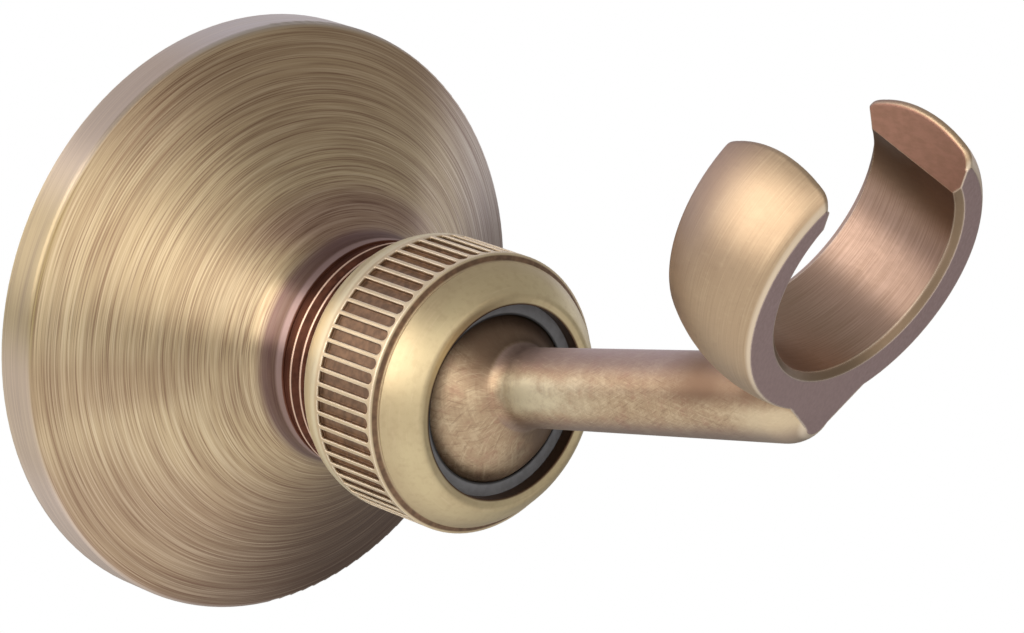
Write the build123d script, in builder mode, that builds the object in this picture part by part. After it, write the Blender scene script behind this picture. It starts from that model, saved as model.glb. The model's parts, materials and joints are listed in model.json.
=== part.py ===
"""Hand shower holder: a wall flange, a ball joint under a fluted collar nut, and an arm with an open cradle.

Frame: the origin is the middle of the flange's back on the wall, the wall is the XZ plane,
-Y points out of the wall and +Z is up. Distances out from the wall are written as "out".
Fine thread forms are left off: the neck is drawn at its root, the nut at its crest.
"""
from build123d import *
import os
from math import asin, cos, degrees, radians, sin, sqrt, tan

# Driving dimensions, in millimetres and degrees

# wall flange
flange_d = 60.0
rim_height = 4.1
rim_edge_round = 0.6
rim_wall = 2.8
flange_height = 20.4
cone_hollow = 0.45
neck_flare = 3.5
neck_step = 0.25
web_thick = 5.0
thread_len = 9.1

# ball joint
ball_d = 20.0
socket_lap = 0.3
socket_wall = 1.45
thread_depth = 0.85
mouth_gap = 1.05
opening_half_angle = 53.9
seat_show = 1.42
seat_lap = 1.0
joint_gap = 0.1

# soft and sliding pieces behind the ball
rear_seat_thick = 1.1
rear_seat_half_angle = 36.0
rear_pad_thick = 2.2
rear_hole_d = 6.0

# collar nut
thread_show = 4.55
thread_clearance = 0.08
collar_wall = 1.67
collar_taper = 3.5
collar_back_face = 0.2
flute_count = 60
flute_width = 1.05
flute_depth = 0.45
flute_margin = 0.3
flute_turn = -1.25
bore_step_gap = 0.6
seat_wall = 0.9
lip_thick = 1.35
lip_crown = 0.15
lip_len = 3.14
lip_flat = 1.0
lip_bulge = 0.28
lip_crest_round = 0.8
lip_groove_depth = 0.85
lip_groove_width = 0.6
lip_step = 0.15

# wall plate and its set screw
plate_thick = 3.2
plate_gap = 0.3
screw_spacing = 32.0
screw_hole_d = 4.5
screw_head_d = 8.0
grub_d = 3.0
grub_sink = 0.5
grub_hex = 1.5
grub_hex_depth = 1.2
grub_point = 0.6
grub_clearance = 0.05

# arm, at the pose it is shown in
arm_root_d = 7.6
arm_end_d = 8.2
arm_root_round = 2.5
arm_rise = 11.55
arm_swing = 2.9
arm_roll = 1.4
arm_reach = 49.4
arm_tip_flat_d = 2.4

# cradle
cradle_tilt = 34.0
cradle_bore_d = 21.3
cradle_width = 12.1
cradle_wall = 4.05
cradle_offset = 0.12
cradle_lean = 2.2
cradle_floor = 3.05
cradle_crown_r = 15.0
cradle_crown_back = 4.7
cradle_front_over = 0.4
cradle_front_round = 1.7
cradle_back_round = 1.2
cradle_chamfer = 0.6
cradle_back_chamfer = 1.0
cradle_root_round = 1.1
cradle_tip_round = 0.45
hose_gap = 17.4
lobe_wall = 2.12
lobe_depth = 2.5
lobe_draft = 30.0

# Sizes that follow

ball_r = ball_d / 2
socket_r = ball_r - socket_lap
core_r = socket_r + socket_wall
crest_r = core_r + thread_depth
neck_r = core_r + neck_step
flange_r = flange_d / 2
rim_inner_r = flange_r - rim_wall

neck_end = flange_height + thread_len
ball_out = neck_end + mouth_gap + sqrt(ball_r**2 - socket_r**2)
seat_r = ball_r + joint_gap
rear_seat_r = seat_r + rear_seat_thick
rear_pad_r = rear_seat_r + joint_gap
socket_floor = ball_out - rear_pad_r - rear_pad_thick
hollow_top = socket_floor - web_thick

seat_front = ball_out + ball_r * cos(radians(opening_half_angle))
seat_edge_r = ball_r * sin(radians(opening_half_angle))
opening_r = seat_edge_r + seat_show
lip_back = seat_front + joint_gap / 2
lip_edge = lip_back + lip_thick

collar_bore_r = crest_r + thread_clearance
collar_r = collar_bore_r + collar_wall
seat_bore_r = seat_r + seat_wall
bore_step = neck_end + bore_step_gap
collar_back = flange_height + thread_show
flute_back = collar_back + collar_taper + flute_margin
lip_root = lip_edge + lip_crown - lip_len
groove_back = lip_root - lip_groove_width
flute_front = groove_back - flute_margin

cradle_bore_r = cradle_bore_d / 2
cradle_r = cradle_bore_r + cradle_wall
cradle_lift = cradle_bore_r + cradle_floor

# Planes and axes

# profiles of round pieces: x is the radius, y the distance out from the wall
section = Plane(origin=(0, 0, 0), x_dir=(1, 0, 0), z_dir=(0, 0, -1))
holder_axis = Axis((0, 0, 0), (0, -1, 0))

# the arm's middle plane: x along the arm from the ball's centre, y up
ball_centre = Vector(0, -ball_out, 0)
arm_dir = Vector(
    sin(radians(arm_swing)) * cos(radians(arm_rise)),
    -cos(radians(arm_swing)) * cos(radians(arm_rise)),
    sin(radians(arm_rise)),
)
level_dir = Vector(-cos(radians(arm_swing)), -sin(radians(arm_swing)), 0)
side_dir = level_dir * cos(radians(arm_roll)) - level_dir.cross(arm_dir) * sin(radians(arm_roll))
arm_plane = Plane(origin=ball_centre, x_dir=arm_dir, z_dir=side_dir)
arm_axis = Axis(ball_centre, arm_dir)

# the cradle's middle plane: x along its bore towards the front, y towards the hose gap
cradle_centre = arm_plane.from_local_coords(
    Vector(arm_reach + cradle_lift * sin(radians(cradle_tilt)), cradle_lift * cos(radians(cradle_tilt)), 0)
)
cradle_dir = arm_plane.x_dir * cos(radians(cradle_tilt)) - arm_plane.y_dir * sin(radians(cradle_tilt))
cradle_plane = Plane(origin=cradle_centre, x_dir=cradle_dir, z_dir=side_dir)
cradle_axis = Axis(cradle_centre, cradle_dir)

# the turned barrel that the cradle is cut from leans a little on the bore
blank_dir = cradle_dir * cos(radians(cradle_lean)) + cradle_plane.y_dir * sin(radians(cradle_lean))
blank_plane = Plane(origin=cradle_centre - cradle_plane.y_dir * cradle_offset, x_dir=blank_dir, z_dir=side_dir)
blank_axis = Axis(blank_plane.origin, blank_dir)
front_plane = Plane(origin=cradle_centre, x_dir=-side_dir, z_dir=cradle_dir)

os.makedirs("parts", exist_ok=True)


# Wall plate: a disc with two countersunk holes, inside the hollow flange

plate_r = rim_inner_r - plate_gap

with BuildPart() as wall_plate:
    with BuildSketch(Plane.XZ):
        Circle(plate_r)
    extrude(amount=plate_thick)
    with Locations(Plane.XZ.offset(plate_thick)):
        with GridLocations(screw_spacing, 0, 2, 1):
            CounterSinkHole(radius=screw_hole_d / 2, counter_sink_radius=screw_head_d / 2)
wall_plate.part.label = "wall_plate"
export_step(wall_plate.part, "parts/wall_plate.step")


# Wall flange: rim, hollow-ground cone, flared neck and thread core, with a hollow back and a ball socket

cone_start = (flange_r, rim_height)
cone_end = (neck_r, flange_height - neck_flare)
cone_mid = ((cone_start[0] + cone_end[0]) / 2 - cone_hollow, (cone_start[1] + cone_end[1]) / 2 - cone_hollow)
hollow_rim = plate_thick + plate_gap
grub_out = rim_height / 2

with BuildPart() as wall_flange:
    with BuildSketch(section) as flange_section:
        with BuildLine():
            Line((0, 0), (flange_r, 0))
            Line((flange_r, 0), cone_start)
            ThreePointArc(cone_start, cone_mid, cone_end)
            Line(cone_end, (neck_r, flange_height))
            Line((neck_r, flange_height), (core_r, flange_height))
            Line((core_r, flange_height), (core_r, neck_end))
            Line((core_r, neck_end), (0, neck_end))
            Line((0, neck_end), (0, 0))
        make_face()
        fillet(flange_section.vertices().sort_by_distance(cone_end)[0], neck_flare)
        fillet(flange_section.vertices().sort_by_distance(cone_start)[0], rim_edge_round)
    revolve(axis=holder_axis)
    with BuildSketch(section):
        with BuildLine():
            Polyline(
                (0, 0),
                (rim_inner_r, 0),
                (rim_inner_r, hollow_rim),
                (socket_r, hollow_top),
                (0, hollow_top),
                close=True,
            )
        make_face()
    revolve(axis=holder_axis, mode=Mode.SUBTRACT)
    with BuildSketch(Plane.XZ.offset(socket_floor)):
        Circle(socket_r)
    extrude(amount=neck_end - socket_floor, mode=Mode.SUBTRACT)
    with BuildSketch(Plane(origin=(0, -grub_out, -flange_r), x_dir=(1, 0, 0), z_dir=(0, 0, 1))):
        Circle(grub_d / 2 + grub_clearance)
    extrude(amount=rim_wall + plate_gap, mode=Mode.SUBTRACT)
wall_flange.part.label = "wall_flange"
export_step(wall_flange.part, "parts/wall_flange.step")


# Set screw under the rim: a short screw with a cone point and a hex socket

grub_head = -flange_r + grub_sink
grub_len = flange_r - grub_sink - plate_r - grub_clearance

with BuildPart() as flange_grub_screw:
    with BuildSketch(Plane(origin=(0, -grub_out, grub_head), x_dir=(1, 0, 0), z_dir=(0, 0, 1))):
        Circle(grub_d / 2)
    extrude(amount=grub_len)
    chamfer(flange_grub_screw.edges().group_by(Axis.Z)[-1], grub_point)
    with BuildSketch(Plane(origin=(0, -grub_out, grub_head), x_dir=(1, 0, 0), z_dir=(0, 0, 1))):
        RegularPolygon(grub_hex / 2, 6, major_radius=False)
    extrude(amount=grub_hex_depth, mode=Mode.SUBTRACT)
flange_grub_screw.part.label = "flange_grub_screw"
export_step(flange_grub_screw.part, "parts/flange_grub_screw.step")


# Rear pad: a rubber plug on the socket's floor, with a round hollow for the cup

with BuildPart() as rear_pad:
    with BuildSketch(Plane.XZ.offset(socket_floor)):
        Circle(socket_r - joint_gap)
        Circle(rear_hole_d / 2, mode=Mode.SUBTRACT)
    extrude(amount=ball_out - socket_floor)
    with Locations(ball_centre):
        Sphere(rear_pad_r, mode=Mode.SUBTRACT)
rear_pad.part.label = "rear_pad"
export_step(rear_pad.part, "parts/rear_pad.step")


# Rear seat: a thin spherical cup that follows the ball, with a hole in the middle

cup_hole_angle = degrees(asin(rear_hole_d / 2 / seat_r))


def on_ball(radius, angle):
    """A point of the arm's middle plane, at this radius and this angle from the arm's rear axis."""
    return (-radius * cos(radians(angle)), radius * sin(radians(angle)))


cup_mid_angle = (cup_hole_angle + rear_seat_half_angle) / 2

with BuildPart() as rear_seat:
    with BuildSketch(arm_plane):
        with BuildLine():
            ThreePointArc(
                on_ball(seat_r, cup_hole_angle),
                on_ball(seat_r, cup_mid_angle),
                on_ball(seat_r, rear_seat_half_angle),
            )
            Line(on_ball(seat_r, rear_seat_half_angle), on_ball(rear_seat_r, rear_seat_half_angle))
            ThreePointArc(
                on_ball(rear_seat_r, rear_seat_half_angle),
                on_ball(rear_seat_r, cup_mid_angle),
                on_ball(rear_seat_r, cup_hole_angle),
            )
            Line(on_ball(rear_seat_r, cup_hole_angle), on_ball(seat_r, cup_hole_angle))
        make_face()
    revolve(axis=arm_axis)
rear_seat.part.label = "rear_seat"
export_step(rear_seat.part, "parts/rear_seat.step")


# Front seat ring: a plastic ring with a round seat, between the ball and the collar's lip

with BuildPart() as front_seat_ring:
    with BuildSketch(Plane.XZ.offset(ball_out + seat_lap)):
        Circle(seat_bore_r - joint_gap)
    extrude(amount=seat_front - ball_out - seat_lap)
    with Locations(ball_centre):
        Sphere(seat_r, mode=Mode.SUBTRACT)
front_seat_ring.part.label = "front_seat_ring"
export_step(front_seat_ring.part, "parts/front_seat_ring.step")


# Collar nut: tapered back, fluted band, a groove, and a rounded lip over the front seat

taper_start = (collar_bore_r + collar_back_face, collar_back)
taper_end = (collar_r, collar_back + collar_taper)
lip_start = (collar_r - lip_groove_depth + lip_step, lip_root)
lip_crest = (opening_r + lip_flat, lip_edge + lip_crown)
lip_chord = (lip_crest[0] - lip_start[0], lip_crest[1] - lip_start[1])
bulge_ratio = lip_bulge / sqrt(lip_chord[0] ** 2 + lip_chord[1] ** 2)
lip_mid = (
    (lip_start[0] + lip_crest[0]) / 2 + lip_chord[1] * bulge_ratio,
    (lip_start[1] + lip_crest[1]) / 2 - lip_chord[0] * bulge_ratio,
)
groove_r = collar_r - lip_groove_depth
flute_planes = [
    Plane(
        origin=(
            collar_r * sin(radians(turn)),
            -(flute_back + flute_front) / 2,
            collar_r * cos(radians(turn)),
        ),
        x_dir=(0, -1, 0),
        z_dir=(sin(radians(turn)), 0, cos(radians(turn))),
    )
    for turn in [flute_turn + 360.0 / flute_count * k for k in range(flute_count)]
]
flute_len = flute_front - flute_back

with BuildPart() as collar_nut:
    with BuildSketch(section) as collar_section:
        with BuildLine():
            Line((collar_bore_r, collar_back), taper_start)
            TangentArc(taper_end, taper_start, tangent=(0, -1))
            Line(taper_end, (collar_r, groove_back))
            Line((collar_r, groove_back), (groove_r, groove_back + lip_groove_width / 2))
            Line((groove_r, groove_back + lip_groove_width / 2), lip_start)
            ThreePointArc(lip_start, lip_mid, lip_crest)
            Line(lip_crest, (opening_r, lip_edge))
            Line((opening_r, lip_edge), (opening_r, lip_back))
            Line((opening_r, lip_back), (seat_bore_r, lip_back))
            Line((seat_bore_r, lip_back), (seat_bore_r, bore_step))
            Line((seat_bore_r, bore_step), (collar_bore_r, bore_step))
            Line((collar_bore_r, bore_step), (collar_bore_r, collar_back))
        make_face()
        fillet(collar_section.vertices().sort_by_distance(lip_crest)[0], lip_crest_round)
    revolve(axis=holder_axis)
    with BuildSketch(*flute_planes):
        SlotOverall(flute_len, flute_width)
        with Locations((-flute_len / 4, 0)):
            Rectangle(flute_len / 2, flute_width)
    extrude(amount=-flute_depth, mode=Mode.SUBTRACT)
collar_nut.part.label = "collar_nut"
export_step(collar_nut.part, "parts/collar_nut.step")


# Cradle arm: ball, round arm and open cradle in one piece

root_y = arm_root_d / 2 + arm_root_round
root_x = sqrt((ball_r + arm_root_round) ** 2 - root_y**2)
ball_touch = (root_x * ball_r / (ball_r + arm_root_round), root_y * ball_r / (ball_r + arm_root_round))
root_mid_angle = asin(root_x / (ball_r + arm_root_round)) / 2
root_mid = (root_x - arm_root_round * sin(root_mid_angle), root_y - arm_root_round * cos(root_mid_angle))


def crown(back):
    """The barrel's crowned outer radius, this far behind the cradle's front."""
    return cradle_r - cradle_crown_r + sqrt(cradle_crown_r**2 - (back - cradle_crown_back) ** 2)


blank_front = (cradle_front_over, crown(-cradle_front_over))
blank_back = (-cradle_width, crown(cradle_width))
cradle_depth = cradle_width + cradle_r * sin(radians(cradle_lean))

# the arm ends in a dome that the front plane just flattens
dome_r = arm_end_d / 2
dome_set = sqrt(dome_r**2 - (arm_tip_flat_d / 2) ** 2)
dome_x = arm_reach - dome_set / cos(radians(cradle_tilt))
dome_mid = (dome_x + dome_r * cos(radians(45)), dome_r * sin(radians(45)))
dome_end = (dome_x + dome_r, 0)
flat_y = -cradle_lift - dome_set * tan(radians(cradle_tilt))

with BuildPart() as cradle_arm:
    with BuildSketch(blank_plane) as blank_section:
        with BuildLine():
            Line((-cradle_width, 0), blank_back)
            ThreePointArc(blank_back, (-cradle_crown_back, cradle_r), blank_front)
            Line(blank_front, (cradle_front_over, 0))
            Line((cradle_front_over, 0), (-cradle_width, 0))
        make_face()
        fillet(blank_section.vertices().sort_by_distance(blank_back)[0], cradle_back_round)
        fillet(blank_section.vertices().sort_by_distance(blank_front)[0], cradle_front_round)
    revolve(axis=blank_axis)
    with BuildSketch(arm_plane):
        with BuildLine():
            ThreePointArc((-ball_r, 0), (0, ball_r), ball_touch)
            ThreePointArc(ball_touch, root_mid, (root_x, arm_root_d / 2))
            Line((root_x, arm_root_d / 2), (dome_x, dome_r))
            ThreePointArc((dome_x, dome_r), dome_mid, dome_end)
            Line(dome_end, (-ball_r, 0))
        make_face()
    revolve(axis=arm_axis)
    fillet(cradle_arm.edges(Select.NEW), cradle_root_round)
    split(bisect_by=front_plane, keep=Keep.BOTTOM)
    # the front face runs down from the ring to the arm's flattened end as one lobe
    with BuildSketch(front_plane):
        with Locations((0, -cradle_offset)):
            Circle(cradle_bore_r + lobe_wall)
        with Locations((0, flat_y)):
            Circle(arm_tip_flat_d / 2)
        make_hull()
    extrude(amount=-lobe_depth, taper=lobe_draft)
    with BuildSketch(front_plane):
        Rectangle(hose_gap, 2 * cradle_r, align=(Align.CENTER, Align.MIN))
    extrude(amount=-cradle_depth, mode=Mode.SUBTRACT)
    tip_faces = cradle_arm.faces().filter_by(cradle_plane).sort_by(Axis(cradle_centre, cradle_plane.y_dir))[-2:]
    tip_edges = [
        edge
        for edge in tip_faces.edges()
        if (edge @ 0.5 - cradle_centre).cross(cradle_dir).length > cradle_bore_r + cradle_wall / 2
    ]
    fillet(tip_edges, cradle_tip_round)
    with BuildSketch(cradle_plane):
        with BuildLine():
            Polyline(
                (cradle_chamfer, 0),
                (cradle_chamfer, cradle_bore_r + 2 * cradle_chamfer),
                (-cradle_chamfer, cradle_bore_r),
                (cradle_back_chamfer - cradle_width, cradle_bore_r),
                (-cradle_back_chamfer - cradle_width, cradle_bore_r + 2 * cradle_back_chamfer),
                (-cradle_back_chamfer - cradle_width, 0),
                close=True,
            )
        make_face()
    revolve(axis=cradle_axis, mode=Mode.SUBTRACT)
cradle_arm.part.label = "cradle_arm"
export_step(cradle_arm.part, "parts/cradle_arm.step")
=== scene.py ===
import json
import math

import bpy
import numpy as np
from bpy.props import FloatProperty, FloatVectorProperty, PointerProperty
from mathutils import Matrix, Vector


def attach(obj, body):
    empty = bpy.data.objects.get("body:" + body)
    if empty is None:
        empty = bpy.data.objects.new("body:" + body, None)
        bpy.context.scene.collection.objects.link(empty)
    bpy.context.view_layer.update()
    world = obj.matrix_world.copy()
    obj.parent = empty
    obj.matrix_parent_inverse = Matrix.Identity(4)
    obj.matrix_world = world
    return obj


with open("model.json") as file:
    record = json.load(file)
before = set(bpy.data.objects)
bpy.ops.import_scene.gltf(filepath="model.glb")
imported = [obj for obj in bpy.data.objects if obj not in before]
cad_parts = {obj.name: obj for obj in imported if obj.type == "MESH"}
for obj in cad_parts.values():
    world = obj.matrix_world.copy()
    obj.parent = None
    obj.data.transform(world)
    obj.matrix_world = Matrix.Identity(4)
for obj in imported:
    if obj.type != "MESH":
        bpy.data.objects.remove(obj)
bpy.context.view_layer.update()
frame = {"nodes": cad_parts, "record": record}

bl_info = {
    "name": "Hand Shower Holder Looks",
    "version": (1, 0, 0),
    "blender": (4, 5, 0),
    "location": "3D View > Sidebar > Holder",
    "description": "Dresses the solids of a wall-mounted hand shower holder in aged, brushed bronze",
    "category": "Object",
}

# Places that come from the frame: the ball's centre, the arm's line and the cradle's bore.
joints = {joint["name"]: joint for joint in frame["record"]["behaviour"]["joints"]}
mounts = {mount["name"]: mount for mount in frame["record"]["mounts"]}
ball_centre = Vector(joints["arm_roll"]["pos_m"])
arm_line = Vector(joints["arm_roll"]["axis"]).normalized()
bore_line = Vector(mounts["cradle_bore"]["axis"]).normalized()
bore_r = mounts["cradle_bore"]["dims"]["r_mm"] / 1000
bore_middle = Vector(mounts["cradle_bore"]["pos_m"])
cradle_side = bore_line.cross(arm_line).normalized()
cradle_up = cradle_side.cross(bore_line)
arm_up = cradle_side.cross(arm_line)

# Numbers of the colour sockets on a Mix node.
MIX_SHARE, MIX_FIRST, MIX_SECOND, MIX_RESULT = 0, 6, 7, 2
# Nearly all of a noise lies between these two values.
NOISE_SPAN = (0.3, 0.7)
# Metres that keep a division off zero on the holder's axis, and half the width of a mask's soft edge.
OFF_AXIS = 0.0001
SOFT_EDGE = 0.0001
# Cosines of the turn from a surface to its rounded direction: off the edges, and on a full edge.
FLAT_COSINE = 0.995
EDGE_COSINE = 0.90
# Sensor width in millimetres, and the nearest distance in metres that the camera sees.
SENSOR_WIDTH = 36.0
NEAREST = 0.01


class HolderSizes(bpy.types.PropertyGroup):
    """Sizes of the fine detail, in metres, and the places where finishes change."""

    flange_r: FloatProperty(
        name="Flange", description="Radius of the flange's rim", default=0.0300, unit="LENGTH",
    )
    wax_out: FloatProperty(
        name="Neck wax", description="Distance from the wall at which wax begins to cover the neck",
        default=0.0202, unit="LENGTH",
    )
    core_r: FloatProperty(
        name="Thread core", description="Radius of the neck under the thread",
        default=0.01115, unit="LENGTH",
    )
    crest_r: FloatProperty(
        name="Thread crest", description="Radius over the thread's ridge", default=0.01165, unit="LENGTH",
    )
    pitch: FloatProperty(
        name="Thread pitch", description="Distance from one ridge to the next",
        default=0.00150, unit="LENGTH",
    )
    thread_back: FloatProperty(
        name="Thread start", description="Distance of the thread's first ridge from the wall",
        default=0.02068, unit="LENGTH",
    )
    thread_front: FloatProperty(
        name="Thread end", description="Distance of the thread's last ridge from the wall",
        default=0.0290, unit="LENGTH",
    )
    collar_r: FloatProperty(
        name="Collar", description="Radius over the collar's flutes", default=0.01375, unit="LENGTH",
    )
    flute_depth: FloatProperty(
        name="Flute depth", description="Depth of a flute in the collar", default=0.00045, unit="LENGTH",
    )
    flute_back: FloatProperty(
        name="Flutes", description="Distance of the flutes' back ends from the wall",
        default=0.0286, unit="LENGTH",
    )
    lip_out: FloatProperty(
        name="Lip", description="Distance of the collar's lip from the wall", default=0.0372, unit="LENGTH",
    )
    opening_r: FloatProperty(
        name="Opening", description="Radius of the opening in the collar's lip",
        default=0.00950, unit="LENGTH",
    )
    # Painted shade: inside this radius the seat ring is painted dark, as shade in its gap to the ball.
    seat_shade_r: FloatProperty(
        name="Seat_shade", description="Radius inside which the seat ring is dark with grease",
        default=0.00838, unit="LENGTH",
    )
    ball_r: FloatProperty(
        name="Ball", description="Radius of the ball", default=0.0100, unit="LENGTH",
    )
    scratch_r: FloatProperty(
        name="Scratches", description="Radius between the arm's and the ball's that scales the scratches",
        default=0.0055, unit="LENGTH",
    )
    front_set: FloatProperty(
        name="Cradle front", description="Distance of the cradle's front face from its bore's middle",
        default=0.00585, unit="LENGTH",
    )
    tip_half: FloatProperty(
        name="Tip face", description="Distance of each tip's face from the cradle's middle plane",
        default=0.0087, unit="LENGTH",
    )
    edge_r: FloatProperty(
        name="Edge wear", description="Width of the bright line that wear leaves along an edge",
        default=0.00022, unit="LENGTH",
    )


class HolderColours(bpy.types.PropertyGroup):
    """Colours of the finishes, as linear red, green and blue."""

    bronze: FloatVectorProperty(
        name="Bronze", description="Brushed bronze in plain light", subtype="COLOR",
        default=(0.47, 0.345, 0.20),
    )
    flange_bronze: FloatVectorProperty(
        name="Flange bronze", description="Ring-brushed bronze of the flange", subtype="COLOR",
        default=(0.54, 0.408, 0.245),
    )
    # Painted reflection: the flange's rim is painted paler, as if it mirrored the bright surroundings.
    rim_bronze: FloatVectorProperty(
        name="Rim bronze", description="Paler bronze round the flange's rim", subtype="COLOR",
        default=(0.61, 0.50, 0.41),
    )
    # Painted shade on the flange's lower right and along the bottom of the cradle's bore.
    low_bronze: FloatVectorProperty(
        name="Low bronze", description="Darker bronze on the flange's lower side", subtype="COLOR",
        default=(0.25, 0.175, 0.11),
    )
    # Painted shade in the concave flare round the flange's neck.
    neck_bronze: FloatVectorProperty(
        name="Neck bronze", description="Purple-brown ring round the flange's neck", subtype="COLOR",
        default=(0.145, 0.08, 0.082),
    )
    satin_bronze: FloatVectorProperty(
        name="Satin bronze", description="Bronze of the arm, the ball and the cradle", subtype="COLOR",
        default=(0.49, 0.35, 0.222),
    )
    # Also painted as a highlight on the ring before the neck's thread and as a reflection along the arm's
    # top.
    lilac_bronze: FloatVectorProperty(
        name="Lilac bronze", description="Cool bronze of the cradle's front face", subtype="COLOR",
        default=(0.435, 0.312, 0.298),
    )
    # Also painted as a highlight at the arm's front end.
    pale_bronze: FloatVectorProperty(
        name="Pale bronze", description="Bronze where it is rubbed bright", subtype="COLOR",
        default=(0.74, 0.60, 0.40),
    )
    # Laid on edges both as wear and as a painted highlight where an edge's rounding catches the light.
    bright_edge: FloatVectorProperty(
        name="Bright edge", description="Bare metal along worn edges", subtype="COLOR",
        default=(0.90, 0.76, 0.58),
    )
    crest_bronze: FloatVectorProperty(
        name="Crest bronze", description="Pinkish bare metal on the thread's crests", subtype="COLOR",
        default=(0.68, 0.475, 0.36),
    )
    # Also painted as a highlight at the arm's root, and on the flange's edges partly as wear, partly as a
    # highlight.
    cream_bronze: FloatVectorProperty(
        name="Cream bronze", description="Pale bare metal on the collar's back bevel and the flange's edge",
        subtype="COLOR", default=(0.84, 0.75, 0.53),
    )
    # Also painted as shade on the arm's upper side and towards the tips of the cradle's bore.
    brown_bronze: FloatVectorProperty(
        name="Brown bronze", description="Bronze that has darkened", subtype="COLOR",
        default=(0.255, 0.155, 0.095),
    )
    # Also painted as shade on the arm's underside.
    plum_bronze: FloatVectorProperty(
        name="Plum bronze", description="Bronze with a purple bloom", subtype="COLOR",
        default=(0.215, 0.145, 0.135),
    )
    golden_bronze: FloatVectorProperty(
        name="Golden bronze", description="Satin bronze of the collar's lip", subtype="COLOR",
        default=(0.65, 0.53, 0.315),
    )
    copper_bronze: FloatVectorProperty(
        name="Copper bronze", description="Reddish bronze of the cradle's ends", subtype="COLOR",
        default=(0.40, 0.21, 0.145),
    )
    bore_bronze: FloatVectorProperty(
        name="Bore bronze", description="Pinkish bronze inside the cradle", subtype="COLOR",
        default=(0.46, 0.31, 0.235),
    )
    # Also painted as shade on the ball's far side and towards the tips of the cradle's bore.
    flute_patina_and_shade: FloatVectorProperty(
        name="Flute patina", description="Brown wax left in the collar's flutes", subtype="COLOR",
        default=(0.16, 0.10, 0.065),
    )
    red_patina: FloatVectorProperty(
        name="Red patina", description="Red-brown wax left in the thread", subtype="COLOR",
        default=(0.17, 0.062, 0.038),
    )
    # Also painted as shade on the inner wall of the collar's opening.
    dark_patina_and_shade: FloatVectorProperty(
        name="Dark patina", description="Dark wax left in the thread", subtype="COLOR",
        default=(0.07, 0.027, 0.017),
    )
    grey_plastic: FloatVectorProperty(
        name="Grey plastic", description="Moulded seat of the ball", subtype="COLOR",
        default=(0.15, 0.15, 0.155),
    )
    # Painted shade: the seat ring is painted dark near the ball, where the gap between them lies in shade.
    seat_shade: FloatVectorProperty(
        name="Seat_shade", description="Dark grease where the seat ring meets the ball", subtype="COLOR",
        default=(0.012, 0.009, 0.008),
    )
    black_rubber: FloatVectorProperty(
        name="Black rubber", description="Pad behind the ball", subtype="COLOR",
        default=(0.022, 0.022, 0.023),
    )
    plated_steel: FloatVectorProperty(
        name="Plated steel", description="Plate and screw at the wall", subtype="COLOR",
        default=(0.60, 0.60, 0.58),
    )
    dull_steel: FloatVectorProperty(
        name="Dull steel", description="Plated steel where its shine has gone", subtype="COLOR",
        default=(0.46, 0.47, 0.47),
    )


class HolderStage(bpy.types.PropertyGroup):
    """The camera, floor and lights."""

    lens: FloatProperty(
        name="Lens", description="Camera lens, in millimetres", default=178.7, unit="CAMERA",
    )
    camera_place: FloatVectorProperty(
        name="Camera", description="Where the camera stands", default=(-0.2940, -0.3912, 0.1473),
        subtype="TRANSLATION", unit="LENGTH",
    )
    azimuth: FloatProperty(
        name="Azimuth", description="Camera's turn round the object from straight ahead",
        default=math.radians(-40.02), subtype="ANGLE",
    )
    elevation: FloatProperty(
        name="Elevation", description="Camera's height angle",
        default=math.radians(16.867), subtype="ANGLE",
    )
    floor_drop: FloatProperty(
        name="Floor", description="Distance of the floor below the holder's axis",
        default=0.45, unit="LENGTH",
    )
    floor_size: FloatProperty(
        name="Floor size", description="Side of the floor", default=8.0, unit="LENGTH",
    )
    floor_colour: FloatVectorProperty(
        name="Floor colour", description="Paint of the floor", subtype="COLOR", default=(0.86, 0.86, 0.86),
    )
    floor_shade: FloatProperty(
        name="Floor shade", description="Brightness of the floor's far right side in the metal",
        default=0.35, min=0.0, soft_max=1.0, subtype="FACTOR",
    )
    floor_front: FloatProperty(
        name="Floor front", description="Brightness of the floor's front side in the metal",
        default=0.45, min=0.0, soft_max=1.0, subtype="FACTOR",
    )
    room_light: FloatProperty(
        name="Room light", description="Strength of the even light all round",
        default=0.45, min=0.0, soft_max=1.0, subtype="FACTOR",
    )
    back_light: FloatProperty(
        name="Back light", description="Strength of the light from the wall's side",
        default=0.85, min=0.0, soft_max=1.0, subtype="FACTOR",
    )
    back_blue: FloatProperty(
        name="Back blue", description="Blue in the light from the wall's side, against 1 in plain white",
        default=1.15, min=0.0,
    )
    left_power: FloatProperty(
        name="Left lamp", description="Power of the large lamp at the left", default=12.0, unit="POWER",
    )
    front_power: FloatProperty(
        name="Front lamp", description="Power of the lamp in front", default=4.9, unit="POWER",
    )
    right_power: FloatProperty(
        name="Right strip", description="Power of the low strip at the right", default=0.50, unit="POWER",
    )
    warm_light: FloatVectorProperty(
        name="Warm light", description="Colour of the left and front lamps", subtype="COLOR",
        default=(1.0, 0.98, 0.95),
    )
    cool_light: FloatVectorProperty(
        name="Cool light", description="Colour of the strip at the right", subtype="COLOR",
        default=(0.74, 0.81, 1.0),
    )


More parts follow.
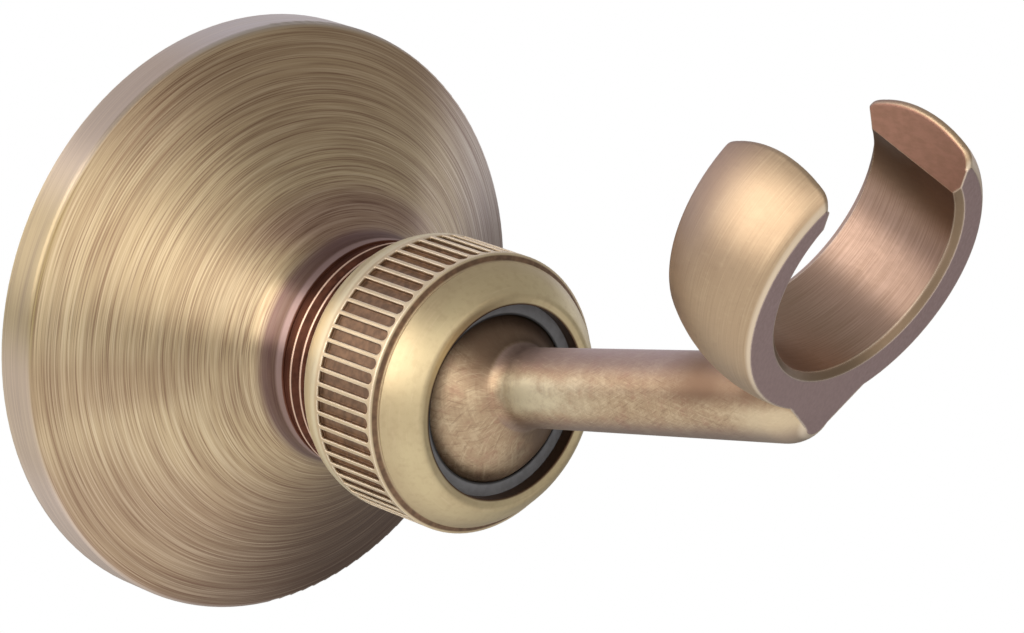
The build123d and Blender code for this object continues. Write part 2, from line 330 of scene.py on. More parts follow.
class Nodes:
    """A node tree in the making, with one short call for each kind of node that it needs."""

    def __init__(self, owner, coordinates):
        owner.use_nodes = True
        self.tree = owner.node_tree
        self.place = self.add("ShaderNodeTexCoord").outputs[coordinates]

    def fill(self, node, sockets):
        """Link a node's sockets to others, or set them to plain values, by name or by number."""
        for key, value in sockets.items():
            if isinstance(value, bpy.types.NodeSocket):
                self.tree.links.new(value, node.inputs[key])
            else:
                node.inputs[key].default_value = value

    def add(self, kind, sockets=None, **options):
        """Add a node, set its own options and fill its sockets."""
        made = self.tree.nodes.new(kind)
        for key, value in options.items():
            setattr(made, key, value)
        self.fill(made, sockets or {})
        return made

    def math(self, operation, first, second=0.0):
        """One sum on two numbers."""
        return self.add("ShaderNodeMath", {0: first, 1: second}, operation=operation).outputs[0]

    def product(self, first, *others):
        """Numbers multiplied together."""
        for other in others:
            first = self.math("MULTIPLY", first, other)
        return first

    def length(self, first, second):
        """Length of the long side of a right triangle, from its two short sides."""
        squares = self.math("ADD", self.product(first, first), self.product(second, second))
        return self.math("SQRT", squares)

    def vector(self, operation, first, second):
        """One sum on two vectors; a dot product or a distance comes out as a number."""
        made = self.add("ShaderNodeVectorMath", {0: first, 1: second}, operation=operation)
        number = operation in ("DOT_PRODUCT", "DISTANCE")
        return made.outputs["Value" if number else "Vector"]

    def reach(self, place, direction):
        """How far a place lies along a direction."""
        return self.vector("DOT_PRODUCT", place, direction)

    def parts(self, place):
        """The three numbers of a vector."""
        return self.add("ShaderNodeSeparateXYZ", {0: place}).outputs

    def join(self, x, y, z):
        """A vector from three numbers."""
        return self.add("ShaderNodeCombineXYZ", {0: x, 1: y, 2: z}).outputs[0]

    def ramp(self, value, low, high, start, end, interpolation="SMOOTHSTEP"):
        """A number that runs from start to end while a value goes from low to high."""
        sockets = {"Value": value, "From Min": low, "From Max": high, "To Min": start, "To Max": end}
        made = self.add("ShaderNodeMapRange", sockets, interpolation_type=interpolation, clamp=True)
        return made.outputs[0]

    def mask(self, value, none, full, most=1.0):
        """A share that is 0 at the value none and runs smoothly to most at the value full."""
        return self.ramp(value, none, full, 0.0, most)

    def past(self, value, limit):
        """A mask of what lies past a limit."""
        return self.mask(value, limit - SOFT_EDGE, limit + SOFT_EDGE)

    def within(self, value, limit):
        """A mask of what lies within a limit."""
        return self.mask(value, limit + SOFT_EDGE, limit - SOFT_EDGE)


class Finish(Nodes):
    """A material in the making, on Object coordinates."""

    def __init__(self, name):
        self.material = bpy.data.materials.new(name)
        super().__init__(self.material, "Object")
        self.shader = self.tree.nodes["Principled BSDF"]

    def noise(self, place, scale=1.0, detail=3.0, roughness=0.55):
        """Soft random grain, from 0 to 1."""
        sockets = {"Vector": place, "Scale": scale, "Detail": detail, "Roughness": roughness}
        return self.add("ShaderNodeTexNoise", sockets).outputs["Fac"]

    def blend(self, share, first, second, how="MIX"):
        """Mix two colours by a share from 0 to 1."""
        sockets = {MIX_SHARE: share}
        for key, colour in ((MIX_FIRST, first), (MIX_SECOND, second)):
            linked = isinstance(colour, bpy.types.NodeSocket)
            sockets[key] = colour if linked else (*colour, 1.0)
        made = self.add("ShaderNodeMix", data_type="RGBA", blend_type=how, clamp_factor=True)
        self.fill(made, sockets)
        return made.outputs[MIX_RESULT]

    def coats(self, tone, *rows, how="MIX"):
        """Lay colours over a tone in order; each row is a share and a colour."""
        for share, colour in rows:
            tone = self.blend(share, tone, colour, how)
        return tone

    def rounded(self, radius):
        """The surface's direction with its edges rounded off."""
        return self.add("ShaderNodeBevel", {"Radius": radius}, samples=6).outputs["Normal"]

    def worn_and_glinting(self, direction):
        """A mask of the edges, where a rounded direction turns away from the surface's own; used for wear
        and painted highlight.
        """
        own = self.add("ShaderNodeNewGeometry").outputs["Normal"]
        return self.mask(self.reach(direction, own), FLAT_COSINE, EDGE_COSINE)

    def bump(self, height, strength, depth, direction=None):
        """Fine relief from a height map."""
        made = self.add("ShaderNodeBump", {"Strength": strength, "Distance": depth, "Height": height})
        if direction is not None:
            self.fill(made, {"Normal": direction})
        return made.outputs[0]

    def surface(self, colour, roughness, direction):
        """Give the shader its colour, roughness and direction."""
        self.fill(self.shader, {"Base Color": colour, "Roughness": roughness, "Normal": direction})
        return self.material

    def metal(self, colour, roughness, direction, grain=0.0, turn=0.0, tangent=None):
        """Finish the shader as metal, brushed along a tangent where it has a grain."""
        sockets = {"Metallic": 1.0, "Anisotropic": grain, "Anisotropic Rotation": turn}
        if tangent is not None:
            sockets["Tangent"] = tangent
        self.fill(self.shader, sockets)
        return self.surface(colour, roughness, direction)


class TurnedFinish(Finish):
    """A finish for a piece turned round the holder's axis: radius, distance out from the wall, and turn."""

    def __init__(self, name):
        super().__init__(name)
        x, y, z = self.parts(self.place)
        self.radius = self.length(x, z)
        self.out = self.product(y, -1.0)
        across = self.math("ADD", self.radius, OFF_AXIS)
        self.turn_x = self.math("DIVIDE", x, across)
        self.turn_z = self.math("DIVIDE", z, across)

    def rings(self, fineness, length, detail=2.0):
        """Brush lines that run round the axis: fast change along the profile, slow change with the turn."""
        along = self.math("SUBTRACT", self.radius, self.out)
        turns = (self.product(turn, length) for turn in (self.turn_x, self.turn_z))
        return self.noise(self.join(self.product(along, fineness), *turns), detail=detail, roughness=0.6)

    def brushed_metal(self, colour, roughness, direction, grain):
        """Finish the shader as metal that is brushed round the axis."""
        tangent = self.add("ShaderNodeTangent", direction_type="RADIAL", axis="Y").outputs[0]
        return self.metal(colour, roughness, direction, grain, turn=0.25, tangent=tangent)


def flange_finish(sizes, colours):
    """Turned, ring-brushed bronze with painted light and shade, a paler rim and a purple flare at the neck,
    then waxed.
    """
    finish = TurnedFinish("turned_bronze")
    mask, product, radius, out = finish.mask, finish.product, finish.radius, finish.out
    fine = finish.rings(fineness=5200.0, length=1.7, detail=3.0)
    lines = finish.rings(fineness=1700.0, length=1.2)
    bands = finish.rings(fineness=380.0, length=0.9)
    clouds = finish.noise(finish.place, scale=55.0)
    low = finish.reach(finish.place, (0.6, 0.0, -0.8))
    top = finish.reach(finish.place, (0.12, 0.0, 0.99))
    left = finish.reach(finish.place, (-0.80, 0.0, -0.60))
    right = finish.reach(finish.place, (1.0, 0.0, 0.0))
    under = finish.reach(finish.place, (-0.2, 0.0, -0.98))
    height = finish.reach(finish.place, (0.0, 0.0, 1.0))
    # Brush grain and random clouds, with low_bronze laid on as painted shade towards the lower right.
    tone = finish.coats(
        colours.flange_bronze,
        (mask(bands, *NOISE_SPAN, most=0.30), colours.brown_bronze),
        (mask(clouds, 0.45, 0.75, most=0.20), colours.plum_bronze),
        (mask(low, -0.004, 0.030, most=0.80), colours.low_bronze),
        (mask(lines, 0.50, 0.70, most=0.27), colours.pale_bronze),
        (mask(lines, 0.49, 0.30, most=0.37), colours.brown_bronze),
        (mask(fine, 0.50, 0.66, most=0.50), colours.pale_bronze),
        (mask(fine, 0.49, 0.34, most=0.75), colours.brown_bronze),
    )

    # Painted light and shade multiply the tone, and one above 1 brightens it: first on the cone, then on
    # the rim.
    flare = product(mask(top, 0.0085, 0.0120), mask(radius, 0.0170, 0.0138))
    off_fan = finish.math("ABSOLUTE", finish.math("ADD", finish.turn_z, 0.06))
    fan = product(mask(off_fan, 0.20, 0.04), mask(right, -0.014, -0.020))
    tone = finish.coats(
        tone,
        (mask(low, 0.006, 0.029), (0.66, 0.64, 0.70)),
        (mask(under, 0.009, 0.019), (0.78, 0.73, 0.76)),
        (mask(top, 0.015, 0.025), (0.84, 0.79, 0.79)),
        (flare, (0.70, 0.62, 0.70)),
        (fan, (0.80, 0.76, 0.76)),
        (mask(left, 0.012, 0.022), (1.30, 1.33, 1.36)),
        (mask(right, 0.016, 0.027), (1.16, 1.26, 1.65)),
        how="MULTIPLY",
    )
    # The rim is painted paler: a painted reflection of the bright surroundings.
    pale_rim = mask(radius, sizes.flange_r - 0.0004, sizes.flange_r - 0.0001, most=0.65)
    tone = finish.blend(pale_rim, tone, colours.rim_bronze)
    # Painted shade on the rim's left side, painted light low on it and a bluish painted reflection at its
    # top.
    rim = mask(radius, sizes.flange_r - 0.0007, sizes.flange_r - 0.0003)
    golden = product(mask(height, -0.001, 0.006), mask(height, 0.021, 0.014), mask(right, -0.006, -0.012))
    tone = finish.coats(
        tone,
        (product(golden, rim), (0.70, 0.68, 0.54)),
        (product(mask(height, -0.008, -0.014), rim), (1.16, 1.19, 1.27)),
        (product(mask(top, 0.0255, 0.0295), rim), (1.06, 1.16, 1.34)),
        how="MULTIPLY",
    )

    direction = finish.rounded(sizes.edge_r)
    off_neck = mask(radius, 0.0130, 0.0140, most=0.7)
    waxed = finish.blend(mask(clouds, 0.35, 0.65), colours.dark_patina_and_shade, colours.red_patina)
    # Painted shade in the neck's flare, a painted highlight on its lilac ring, wax past the thread's start,
    # and edges partly wear, partly painted highlight.
    tone = finish.coats(
        tone,
        (mask(out, sizes.wax_out - 0.0039, sizes.wax_out - 0.0025, most=0.82), colours.neck_bronze),
        (mask(out, sizes.wax_out - 0.0012, sizes.wax_out - 0.0007, most=0.85), colours.lilac_bronze),
        (finish.past(out, sizes.wax_out), waxed),
        (product(finish.worn_and_glinting(direction), off_neck), colours.cream_bronze),
    )
    rough = finish.ramp(lines, 0.25, 0.75, start=0.36, end=0.46)
    direction = finish.bump(fine, strength=0.22, depth=0.00005, direction=direction)
    return finish.brushed_metal(tone, rough, direction, grain=0.75)


def collar_finish(sizes, colours):
    """Brown patina in the flutes and groove, ridges bright with wear and painted highlight, a bare back
    bevel, a satin golden lip.
    """
    finish = TurnedFinish("fluted_bronze")
    mask, product, radius, out = finish.mask, finish.product, finish.radius, finish.out
    lines = finish.rings(fineness=6000.0, length=2.4)
    clouds = finish.noise(finish.place, scale=160.0)
    speck = finish.noise(finish.place, scale=1500.0)
    direction = finish.rounded(sizes.edge_r)

    before_lip = mask(out, sizes.lip_out - 0.0002, sizes.lip_out - 0.0003)
    fluted = product(finish.past(out, sizes.flute_back), before_lip)
    shallow = sizes.collar_r - 0.3 * sizes.flute_depth
    deep = sizes.collar_r - 0.7 * sizes.flute_depth
    in_flute = product(mask(radius, shallow, deep), fluted)
    on_ridge = mask(radius, sizes.collar_r - 0.0003, sizes.collar_r - 0.0002)
    on_bevel = mask(out, sizes.flute_back - 0.0001, sizes.flute_back - 0.0005)
    ridge = finish.blend(mask(clouds, *NOISE_SPAN, most=0.5), colours.pale_bronze, colours.bronze)
    patina = finish.blend(mask(speck, *NOISE_SPAN), colours.flute_patina_and_shade, colours.brown_bronze)
    body = finish.coats(
        ridge,
        (in_flute, patina),
        (product(finish.worn_and_glinting(direction), on_ridge, fluted), colours.bright_edge),
        (on_bevel, colours.cream_bronze),
    )
    round_lip = mask(radius, 0.0116, 0.0129, most=0.20)
    # Painted shade on the inner wall of the lip's opening.
    in_opening = mask(radius, sizes.opening_r + 0.00025, sizes.opening_r + 0.00005, most=0.9)
    lip = finish.coats(
        colours.golden_bronze,
        (mask(clouds, *NOISE_SPAN, most=0.30), colours.bronze),
        (mask(lines, 0.5, 0.8, most=0.4), colours.pale_bronze),
        (mask(speck, 0.45, 0.70, most=0.25), colours.bronze),
        (round_lip, colours.brown_bronze),
        (in_opening, colours.dark_patina_and_shade),
    )
    tone = finish.blend(finish.past(out, sizes.lip_out), body, lip)
    rough = finish.ramp(lines, 0.25, 0.75, start=0.40, end=0.50)
    direction = finish.bump(lines, strength=0.08, depth=0.00003, direction=direction)
    return finish.brushed_metal(tone, rough, direction, grain=0.3)


def thread_finish(sizes, colours):
    """Dark red-brown patina with rubbed crests."""
    finish = TurnedFinish("threaded_bronze")
    grain = finish.noise(finish.place, scale=900.0, detail=2.0)
    crest = finish.mask(finish.radius, sizes.crest_r - 0.00009, sizes.crest_r - 0.00003)
    tone = finish.coats(
        colours.dark_patina_and_shade,
        (finish.mask(grain, *NOISE_SPAN, most=0.6), colours.red_patina),
        (crest, colours.crest_bronze),
    )
    rough = finish.ramp(grain, 0.2, 0.8, start=0.32, end=0.5)
    return finish.metal(tone, rough, finish.rounded(radius=0.00006))


class ArmFinish(Finish):
    """The finish of the piece that is ball, arm and cradle in one: where each of them is, and its grain."""

    def __init__(self, name, sizes):
        super().__init__(name)
        self.find_cradle(sizes)
        self.find_arm(sizes)
        self.clouds = self.noise(self.place, scale=75.0)
        self.mottles = self.noise(self.place, scale=480.0, detail=4.0, roughness=0.7)
        hair_scale = (3400.0, 900.0, 2200.0)
        self.hairs = self.noise(self.vector("MULTIPLY", self.place, hair_scale))
        bore_turn = self.math("ARCTAN2", self.side, self.up)
        self.strokes = self.turned_lines(bore_turn, self.out, length=2.0, fineness=8000.0)
        rings = self.turned_lines(self.arm_turn, self.along, length=2.5, fineness=6500.0)
        self.brushed = self.ramp(self.at_cradle, 0.0, 1.0, start=rings, end=self.strokes)

    def find_cradle(self, sizes):
        """Distances from the middle of the cradle's front face, and masks of the cradle's faces."""
        away = self.vector("SUBTRACT", self.place, bore_middle + bore_line * sizes.front_set)
        self.out = self.reach(away, bore_line)
        self.side = self.reach(away, cradle_side)
        self.up = self.reach(away, cradle_up)
        self.ring = self.length(self.side, self.up)
        before_back = self.mask(self.out, -0.0145, -0.0140)
        inside_outline = self.mask(self.ring, 0.0158, 0.0150)
        self.at_cradle = self.product(before_back, inside_outline)
        self.off_cradle = self.ramp(self.at_cradle, 0.0, 1.0, start=1.0, end=0.0)
        self.on_front = self.mask(self.out, -0.00006, -0.00002)
        self.in_bore = self.product(self.within(self.ring, bore_r + 0.0010), self.at_cradle)
        off_middle = self.math("ABSOLUTE", self.side)
        tip = self.mask(off_middle, sizes.tip_half + 0.00006, sizes.tip_half + 0.00002)
        upper_half = self.mask(self.up, 0.002, 0.0025)
        self.on_tip = self.product(tip, upper_half, self.at_cradle)

    def find_arm(self, sizes):
        """Distances from the ball's centre, the turn round the arm, and masks of the ball and the arm."""
        self.from_ball = self.vector("SUBTRACT", self.place, ball_centre)
        self.along = self.reach(self.from_ball, arm_line)
        self.above = self.reach(self.from_ball, arm_up)
        self.arm_turn = self.math("ARCTAN2", self.reach(self.from_ball, cradle_side), self.above)
        self.round_arm = self.product(self.arm_turn, sizes.scratch_r)
        to_ball = self.vector("DISTANCE", self.place, ball_centre)
        self.on_ball = self.mask(to_ball, sizes.ball_r + 0.0004, sizes.ball_r + 0.0001)
        self.on_arm = self.mask(self.math("ADD", self.on_ball, self.at_cradle), 1.0, 0.0)

    def turned_lines(self, turn, along, length, fineness):
        """Brush lines round a bore or a bar: slow change with the turn, fast change along it."""
        return self.noise(self.join(self.product(turn, length), self.product(along, fineness), 0.0))

    def scratches(self, lean):
        """Short straight scratches that lean off the arm: fast change across them, slow along them."""
        sine, cosine = math.sin(lean), math.cos(lean)
        fineness, slowness = 5200.0, 650.0
        across = self.math("SUBTRACT", self.product(self.round_arm, cosine), self.product(self.along, sine))
        down = self.math("ADD", self.product(self.round_arm, sine), self.product(self.along, cosine))
        place = self.join(self.product(across, fineness), self.product(down, slowness), lean)
        return self.noise(place, roughness=0.65)


def satin_tone(finish, colours):
    """Satin bronze: brushed, mottled and scratched, with painted light and shade along the arm and on the
    ball.
    """
    mask, product = finish.mask, finish.product
    along, above, clouds, mottles = finish.along, finish.above, finish.clouds, finish.mottles
    on_arm, at_cradle, off_cradle = finish.on_arm, finish.at_cradle, finish.off_cradle
    scratches = [finish.scratches(math.radians(lean)) for lean in (24, -33)]
    bright_scratch = mask(finish.math("MAXIMUM", *scratches), 0.54, 0.70, most=0.38)
    dark_scratch = mask(finish.math("MINIMUM", *scratches), 0.45, 0.30, most=0.48)
    satin = finish.coats(
        colours.satin_bronze,
        (mask(clouds, 0.42, 0.72, most=0.35), colours.brown_bronze),
        (mask(finish.brushed, 0.50, 0.75, most=0.22), colours.pale_bronze),
        (mask(finish.brushed, 0.50, 0.25, most=0.25), colours.brown_bronze),
        (mask(finish.hairs, 0.54, 0.72, most=0.10), colours.pale_bronze),
        (mask(finish.hairs, 0.46, 0.28, most=0.10), colours.brown_bronze),
        (product(mask(mottles, 0.50, 0.68, most=0.42), off_cradle), colours.copper_bronze),
        (product(mask(mottles, 0.48, 0.34, most=0.32), off_cradle), colours.pale_bronze),
        (product(bright_scratch, off_cradle), colours.pale_bronze),
        (product(dark_scratch, off_cradle), colours.brown_bronze),
    )

    # Arm patches: painted highlights at the front end and root, painted shade above and below, a painted
    # crown reflection, a dusky top.
    rubbed_and_lit = product(mask(along, 0.0395, 0.0445, most=0.7), mask(above, 0.0008, -0.0008))
    root = product(
        mask(along, 0.0280, 0.0130),
        mask(along, 0.0095, 0.0115),
        mask(above, 0.0026, 0.0012),
        mask(above, -0.0024, -0.0006),
        finish.ramp(mottles, 0.66, 0.38, start=0.40, end=0.82),
    )
    dusky = product(
        mask(along, 0.0300, 0.0375),
        mask(above, -0.0006, 0.0012),
        finish.ramp(clouds, 0.25, 0.55, start=0.55, end=1.0),
    )
    satin = finish.coats(
        satin,
        (product(rubbed_and_lit, on_arm), colours.pale_bronze),
        (product(mask(above, 0.0006, 0.0024, most=0.28), on_arm), colours.brown_bronze),
        (root, colours.cream_bronze),
        (product(mask(above, 0.0018, 0.0040, most=0.60), on_arm), colours.lilac_bronze),
        (product(dusky, on_arm), colours.brown_bronze),
        (product(mask(above, -0.0014, -0.0032, most=0.55), on_arm), colours.plum_bronze),
    )

    # Patches on the back of the cradle, and painted shade on the ball's shaded side.
    clouded = product(mask(finish.out, -0.0070, -0.0115, most=0.3), mask(finish.up, 0.0020, 0.0070))
    behind = mask(finish.out, -0.0055, -0.0120, most=0.5)
    shade_side = finish.reach(finish.from_ball, (0.86, 0.0, 0.51))
    return finish.coats(
        satin,
        (product(clouded, at_cradle), colours.brown_bronze),
        (product(behind, at_cradle), colours.plum_bronze),
        (product(mask(shade_side, -0.0040, 0.0006, most=0.92), finish.on_ball), colours.flute_patina_and_shade),
    )


def bore_tone(finish, colours):
    """Pinkish bronze brushed round the bore, with painted shade to the tips and along the bottom, darker at
    the front edge.
    """
    mask, up, out = finish.mask, finish.up, finish.out
    evened = 0.45
    return finish.coats(
        colours.bore_bronze,
        (mask(finish.strokes, *NOISE_SPAN), colours.brown_bronze),
        (evened, colours.bore_bronze),
        # Painted shade: darker towards the tips and along the bottom.
        (mask(up, -0.0010, 0.0035, most=0.80), colours.brown_bronze),
        (mask(up, -0.0006, 0.0030, most=0.92), colours.flute_patina_and_shade),
        (mask(up, -0.0085, -0.0106, most=0.45), colours.low_bronze),
        (mask(out, -0.0008, -0.0004, most=0.9), colours.low_bronze),
    )


def cradle_finish(sizes, colours):
    """Satin bronze arm and ball, a brushed bore, a lilac front face, coppery tips, edges bright with wear
    and painted highlight.
    """
    finish = ArmFinish("satin_bronze", sizes)
    mask, hairs = finish.mask, finish.hairs
    copper = finish.blend(mask(hairs, *NOISE_SPAN, most=0.3), colours.copper_bronze, colours.brown_bronze)
    lilac = finish.blend(mask(hairs, *NOISE_SPAN, most=0.2), colours.lilac_bronze, colours.plum_bronze)
    direction = finish.rounded(1.4 * sizes.edge_r)
    worn_and_glinting = finish.product(finish.worn_and_glinting(direction), 0.8)
    # A painted highlight along the cradle's front edge; the other bright edges are partly wear, partly
    # painted highlight.
    front_edge_highlight = finish.product(
        mask(finish.out, -0.0005, -0.00015),
        mask(finish.on_tip, 0.1, 0.0),
        mask(finish.on_front, 0.5, 0.0),
        mask(finish.ring, bore_r + 0.0014, bore_r + 0.0018, most=0.60),
    )
    tone = finish.coats(
        satin_tone(finish, colours),
        (finish.in_bore, bore_tone(finish, colours)),
        (finish.on_tip, copper),
        (finish.on_front, lilac),
        (worn_and_glinting, colours.bright_edge),
        (front_edge_highlight, colours.bright_edge),
    )
    rough = finish.ramp(hairs, *NOISE_SPAN, start=0.42, end=0.48)
    relief = finish.math("ADD", finish.brushed, finish.product(hairs, 0.6))
    direction = finish.bump(relief, strength=0.10, depth=0.00005, direction=direction)
    return finish.metal(tone, rough, direction, grain=0.5, tangent=finish.join(*bore_line))


def moulded_finish(finish, colour, roughness, grain, coats=()):
    """Matt moulded plastic or rubber with pale flecks and a fine grain, under any coats that are given."""
    speck = finish.noise(finish.place, scale=grain)
    fleck = tuple(1.6 * part for part in colour)
    uneven = 0.06
    tone = finish.coats(colour, (finish.mask(speck, *NOISE_SPAN, most=0.35), fleck), *coats)
    rough = finish.ramp(speck, *NOISE_SPAN, start=roughness - uneven, end=roughness + uneven)
    return finish.surface(tone, rough, finish.bump(speck, strength=0.15, depth=0.00003))


def steel_finish(sizes, colours):
    """Zinc-plated steel with a rolled grain."""
    finish = Finish("plated_steel")
    rolled_scale = (90.0, 900.0, 2600.0)
    rolled = finish.noise(finish.vector("MULTIPLY", finish.place, rolled_scale))
    clouds = finish.noise(finish.place, scale=120.0)
    dull = finish.mask(clouds, *NOISE_SPAN, most=0.5)
    tone = finish.blend(dull, colours.plated_steel, colours.dull_steel)
    rough = finish.ramp(rolled, *NOISE_SPAN, start=0.30, end=0.44)
    direction = finish.bump(rolled, strength=0.10, depth=0.00003, direction=finish.rounded(sizes.edge_r))
    return finish.metal(tone, rough, direction)


def dress(node, material):
    """Give a solid its finish."""
    mesh = frame["nodes"][node].data
    mesh.materials.clear()
    mesh.materials.append(material)


def new_piece(name, points, faces, material):
    """A mesh object at the origin, in the scene."""
    mesh = bpy.data.meshes.new(name)
    mesh.from_pydata(points, [], faces)
    mesh.materials.append(material)
    piece = bpy.data.objects.new(name, mesh)
    bpy.context.scene.collection.objects.link(piece)
    return piece


def tube_faces(rows, columns):
    """Faces of a grid of points that closes on itself across its columns.

    The face at row i and column j joins that point to the next in its row, counted round, and to the same
    two in row i + 1. One more face closes each end.
    """
    row, column = np.meshgrid(np.arange(rows - 1), np.arange(columns), indexing="ij")
    after = (column + 1) % columns
    near, far = row * columns, (row + 1) * columns
    sides = np.stack((near + column, near + after, far + after, far + column), -1).reshape(-1, 4)
    first_end = list(reversed(range(columns)))
    last_end = list(range((rows - 1) * columns, rows * columns))
    return [*sides.tolist(), first_end, last_end]


def thread_points(sizes):
    """A ridge wound round the neck.

    A point at turn t and share p of the ridge's width lies at radius = foot + height * hump(p) and at
    out = start + pitch * t / 2pi + width * (p - 1/2). The foot is sunk in the core, the hump has sloped
    flanks and a flat crest, and the height fades in and out over half a turn at each end.
    """
    steps_in_turn = 160
    points_across = 13
    width = 0.92 * sizes.pitch
    sunk = 0.00015
    foot = sizes.core_r - sunk
    flank_slope = 1.12
    least_height = 0.15
    turns = (sizes.thread_front - sizes.thread_back) / sizes.pitch
    turn = np.linspace(0.0, 2 * np.pi * turns, int(turns * steps_in_turn))[:, None]
    share = np.linspace(0.0, 1.0, points_across)[None, :]
    hump = np.clip(flank_slope * (1.0 - np.abs(2.0 * share - 1.0)), 0.0, 1.0)
    fade = np.clip(np.minimum(turn, turn[-1] - turn) / np.pi, 0.0, 1.0)
    height = (sizes.crest_r - foot) * (least_height + (1.0 - least_height) * fade)
    radius = foot + height * hump
    out = sizes.thread_back + sizes.pitch * turn / (2 * np.pi) + width * (share - 0.5)
    radius, out, turn = np.broadcast_arrays(radius, out, turn)
    return np.stack((radius * np.sin(turn), -out, radius * np.cos(turn)), -1)


class HOLDER_OT_wall_parts(bpy.types.Operator):
    """Finish the flange, its plate and its set screw"""

    bl_idname = "holder.wall_parts"
    bl_label = "Wall parts"

    def execute(self, context):
        sizes, colours = context.scene.holder_sizes, context.scene.holder_colours
        steel = steel_finish(sizes, colours)
        dress("wall_flange", flange_finish(sizes, colours))
        dress("wall_plate", steel)
        dress("flange_grub_screw", steel)
        return {"FINISHED"}


class HOLDER_OT_neck_thread(bpy.types.Operator):
    """Wind the fine thread round the neck"""

    bl_idname = "holder.neck_thread"
    bl_label = "Neck thread"

    def execute(self, context):
        sizes, colours = context.scene.holder_sizes, context.scene.holder_colours
        points = thread_points(sizes)
        faces = tube_faces(*points.shape[:2])
        corners = points.reshape(-1, 3).tolist()
        piece = new_piece("neck_thread", corners, faces, thread_finish(sizes, colours))
        piece.data.polygons.foreach_set("use_smooth", np.ones(len(faces), dtype=bool))
        piece.data.update()
        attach(piece, "wall_mount")
        return {"FINISHED"}


class HOLDER_OT_ball_seats(bpy.types.Operator):
    """Finish the pad, cup and ring that hold the ball"""

    bl_idname = "holder.ball_seats"
    bl_label = "Ball seats"

    def execute(self, context):
        sizes, colours = context.scene.holder_sizes, context.scene.holder_colours
        rubber = {"colour": colours.black_rubber, "roughness": 0.62, "grain": 900.0}
        plastic = {"colour": colours.grey_plastic, "roughness": 0.46, "grain": 1500.0}
        dress("rear_pad", moulded_finish(Finish("black_rubber"), **rubber))
        dress("rear_seat", moulded_finish(Finish("grey_plastic"), **plastic))
        # The ring is painted dark near the ball: painted shade in the gap between them.
        ring = TurnedFinish("shaded_seat_plastic")
        seat_shade = (ring.within(ring.radius, sizes.seat_shade_r), colours.seat_shade)
        dress("front_seat_ring", moulded_finish(ring, **plastic, coats=[seat_shade]))
        return {"FINISHED"}


class HOLDER_OT_collar(bpy.types.Operator):
    """Finish the fluted collar nut"""

    bl_idname = "holder.collar"
    bl_label = "Collar nut"

    def execute(self, context):
        dress("collar_nut", collar_finish(context.scene.holder_sizes, context.scene.holder_colours))
        return {"FINISHED"}


class HOLDER_OT_cradle(bpy.types.Operator):
    """Finish the arm with its ball and cradle"""

    bl_idname = "holder.cradle"
    bl_label = "Cradle arm"

    def execute(self, context):
        dress("cradle_arm", cradle_finish(context.scene.holder_sizes, context.scene.holder_colours))
        return {"FINISHED"}


def floor_finish(stage):
    """Plain paint, but white to the camera, and in the metal a glow that fades rightwards and forwards."""
    finish = Finish("floor_paint")
    finish.fill(finish.shader, {"Base Color": (*stage.floor_colour, 1.0), "Roughness": 0.7})
    rays = finish.add("ShaderNodeLightPath").outputs
    rightward = finish.reach(finish.place, (1.0, 0.45, 0.0))
    wallward = finish.parts(finish.place)["Y"]
    right_fade = (-0.15, 0.45)
    front_fade = (-1.1, -2.6)
    glow = finish.product(
        finish.ramp(rightward, *right_fade, start=1.0, end=stage.floor_shade),
        finish.ramp(wallward, *front_fade, start=1.0, end=stage.floor_front),
    )
    strength = finish.math("MAXIMUM", glow, rays["Is Camera Ray"])
    white = finish.add("ShaderNodeEmission", {"Strength": strength})
    seen = finish.math("MAXIMUM", rays["Is Camera Ray"], rays["Is Glossy Ray"])
    mixed = finish.add("ShaderNodeMixShader", {0: seen, 1: finish.shader.outputs[0], 2: white.outputs[0]})
    finish.fill(finish.tree.nodes["Material Output"], {"Surface": mixed.outputs[0]})
    return finish.material


def studio_world(stage):
    """Even light all round, stronger and bluer from the wall's side, and white to the camera."""
    world = bpy.data.worlds.new("studio")
    nodes = Nodes(world, "Generated")
    wallward = nodes.parts(nodes.place)["Y"]
    wall_rise = (0.25, 0.70)
    levels = (stage.room_light, stage.back_light)
    level = nodes.ramp(wallward, *wall_rise, *levels)
    blue = nodes.ramp(level, *levels, start=1.0, end=stage.back_blue, interpolation="LINEAR")
    air = nodes.add("ShaderNodeCombineColor", {"Red": 1.0, "Green": 1.0, "Blue": blue})
    seen = nodes.add("ShaderNodeLightPath").outputs["Is Camera Ray"]
    strength = nodes.math("MAXIMUM", level, seen)
    nodes.fill(nodes.tree.nodes["Background"], {"Color": air.outputs[0], "Strength": strength})
    return world


def stand(name, data, place, direction):
    """Put a lamp or a camera in the scene, with its view along a direction."""
    made = bpy.data.objects.new(name, data)
    made.location = place
    made.rotation_mode = "QUATERNION"
    made.rotation_quaternion = direction.to_track_quat("-Z", "Y")
    bpy.context.scene.collection.objects.link(made)
    return made


def soft_box(name, place, power, colour, width, height):
    """A rectangular lamp that faces the ball."""
    lamp = bpy.data.lights.new(name, "AREA")
    lamp.shape = "RECTANGLE"
    lamp.energy = power
    lamp.size = width
    lamp.size_y = height
    lamp.color = colour
    stand(name, lamp, place, ball_centre - Vector(place))


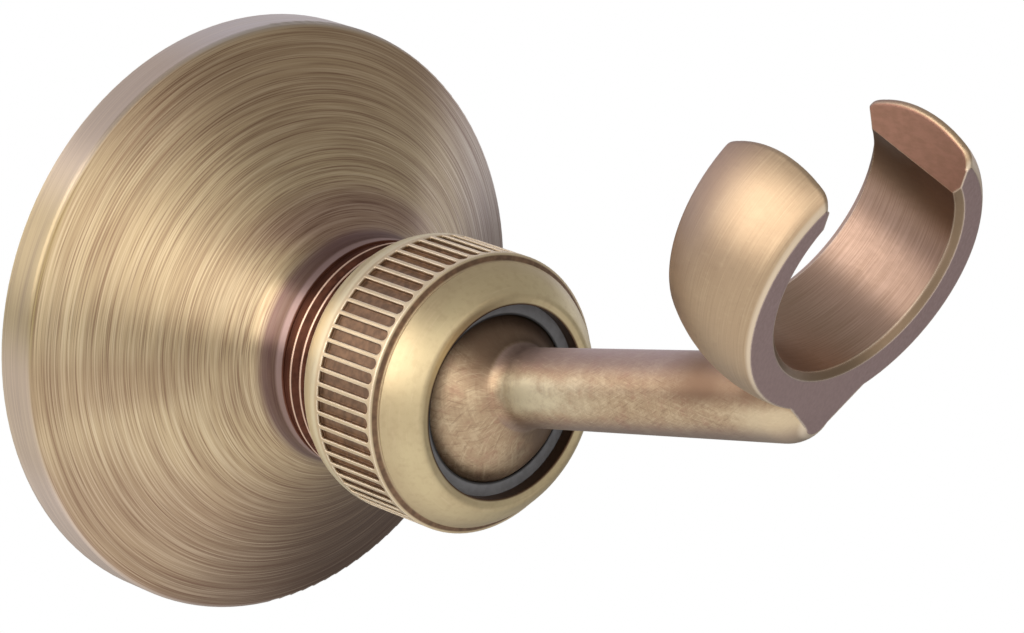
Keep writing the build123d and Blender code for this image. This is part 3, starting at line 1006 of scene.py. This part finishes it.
class HOLDER_OT_stage(bpy.types.Operator):
    """Set the floor, the lamps and the camera"""

    bl_idname = "holder.stage"
    bl_label = "Stage"

    def execute(self, context):
        scene, stage = context.scene, context.scene.holder_stage
        half = stage.floor_size / 2
        signs = ((-1, -1), (1, -1), (1, 1), (-1, 1))
        corners = [(x * half, y * half, -stage.floor_drop) for x, y in signs]
        floor = new_piece("floor", corners, [(0, 1, 2, 3)], floor_finish(stage))
        scene.world = studio_world(stage)

        warm, cool = stage.warm_light, stage.cool_light
        soft_box("left_box", (-1.02, 0.04, 0.58), stage.left_power, warm, width=1.40, height=0.95)
        soft_box("front_box", (-0.40, -1.05, 0.42), stage.front_power, warm, width=1.50, height=0.86)
        soft_box("right_strip", (0.85, 0.05, -0.03), stage.right_power, cool, width=0.80, height=0.26)

        camera = bpy.data.cameras.new("camera")
        camera.lens = stage.lens
        camera.sensor_width = SENSOR_WIDTH
        camera.clip_start = NEAREST
        az, el = stage.azimuth, stage.elevation
        back = Vector((math.sin(az) * math.cos(el), -math.cos(az) * math.cos(el), math.sin(el)))
        scene.camera = stand("camera", camera, stage.camera_place, -back)
        scene.view_settings.view_transform = "Standard"
        return {"FINISHED"}


class HOLDER_PT_panel(bpy.types.Panel):
    """Buttons for each piece, and its sizes and colours"""

    bl_label = "Holder"
    bl_idname = "HOLDER_PT_panel"
    bl_space_type = "VIEW_3D"
    bl_region_type = "UI"
    bl_category = "Holder"

    def draw(self, context):
        for operator in operators:
            self.layout.operator(operator.bl_idname)
        for name, group in groups.items():
            box = self.layout.box()
            for key in group.__annotations__:
                box.prop(getattr(context.scene, name), key)


groups = {"holder_sizes": HolderSizes, "holder_colours": HolderColours, "holder_stage": HolderStage}
operators = (
    HOLDER_OT_wall_parts,
    HOLDER_OT_neck_thread,
    HOLDER_OT_ball_seats,
    HOLDER_OT_collar,
    HOLDER_OT_cradle,
    HOLDER_OT_stage,
)


def register():
    """Add the settings, buttons and panel."""
    for name, group in groups.items():
        bpy.utils.register_class(group)
        setattr(bpy.types.Scene, name, PointerProperty(type=group))
    for made in (*operators, HOLDER_PT_panel):
        bpy.utils.register_class(made)


def unregister():
    """Take them away again."""
    for made in (HOLDER_PT_panel, *reversed(operators)):
        bpy.utils.unregister_class(made)
    for name, group in groups.items():
        delattr(bpy.types.Scene, name)
        bpy.utils.unregister_class(group)


def main():
    """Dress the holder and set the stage."""
    register()
    for operator in operators:
        group, name = operator.bl_idname.split(".")
        getattr(getattr(bpy.ops, group), name)()


if __name__ == "__main__":
    main()
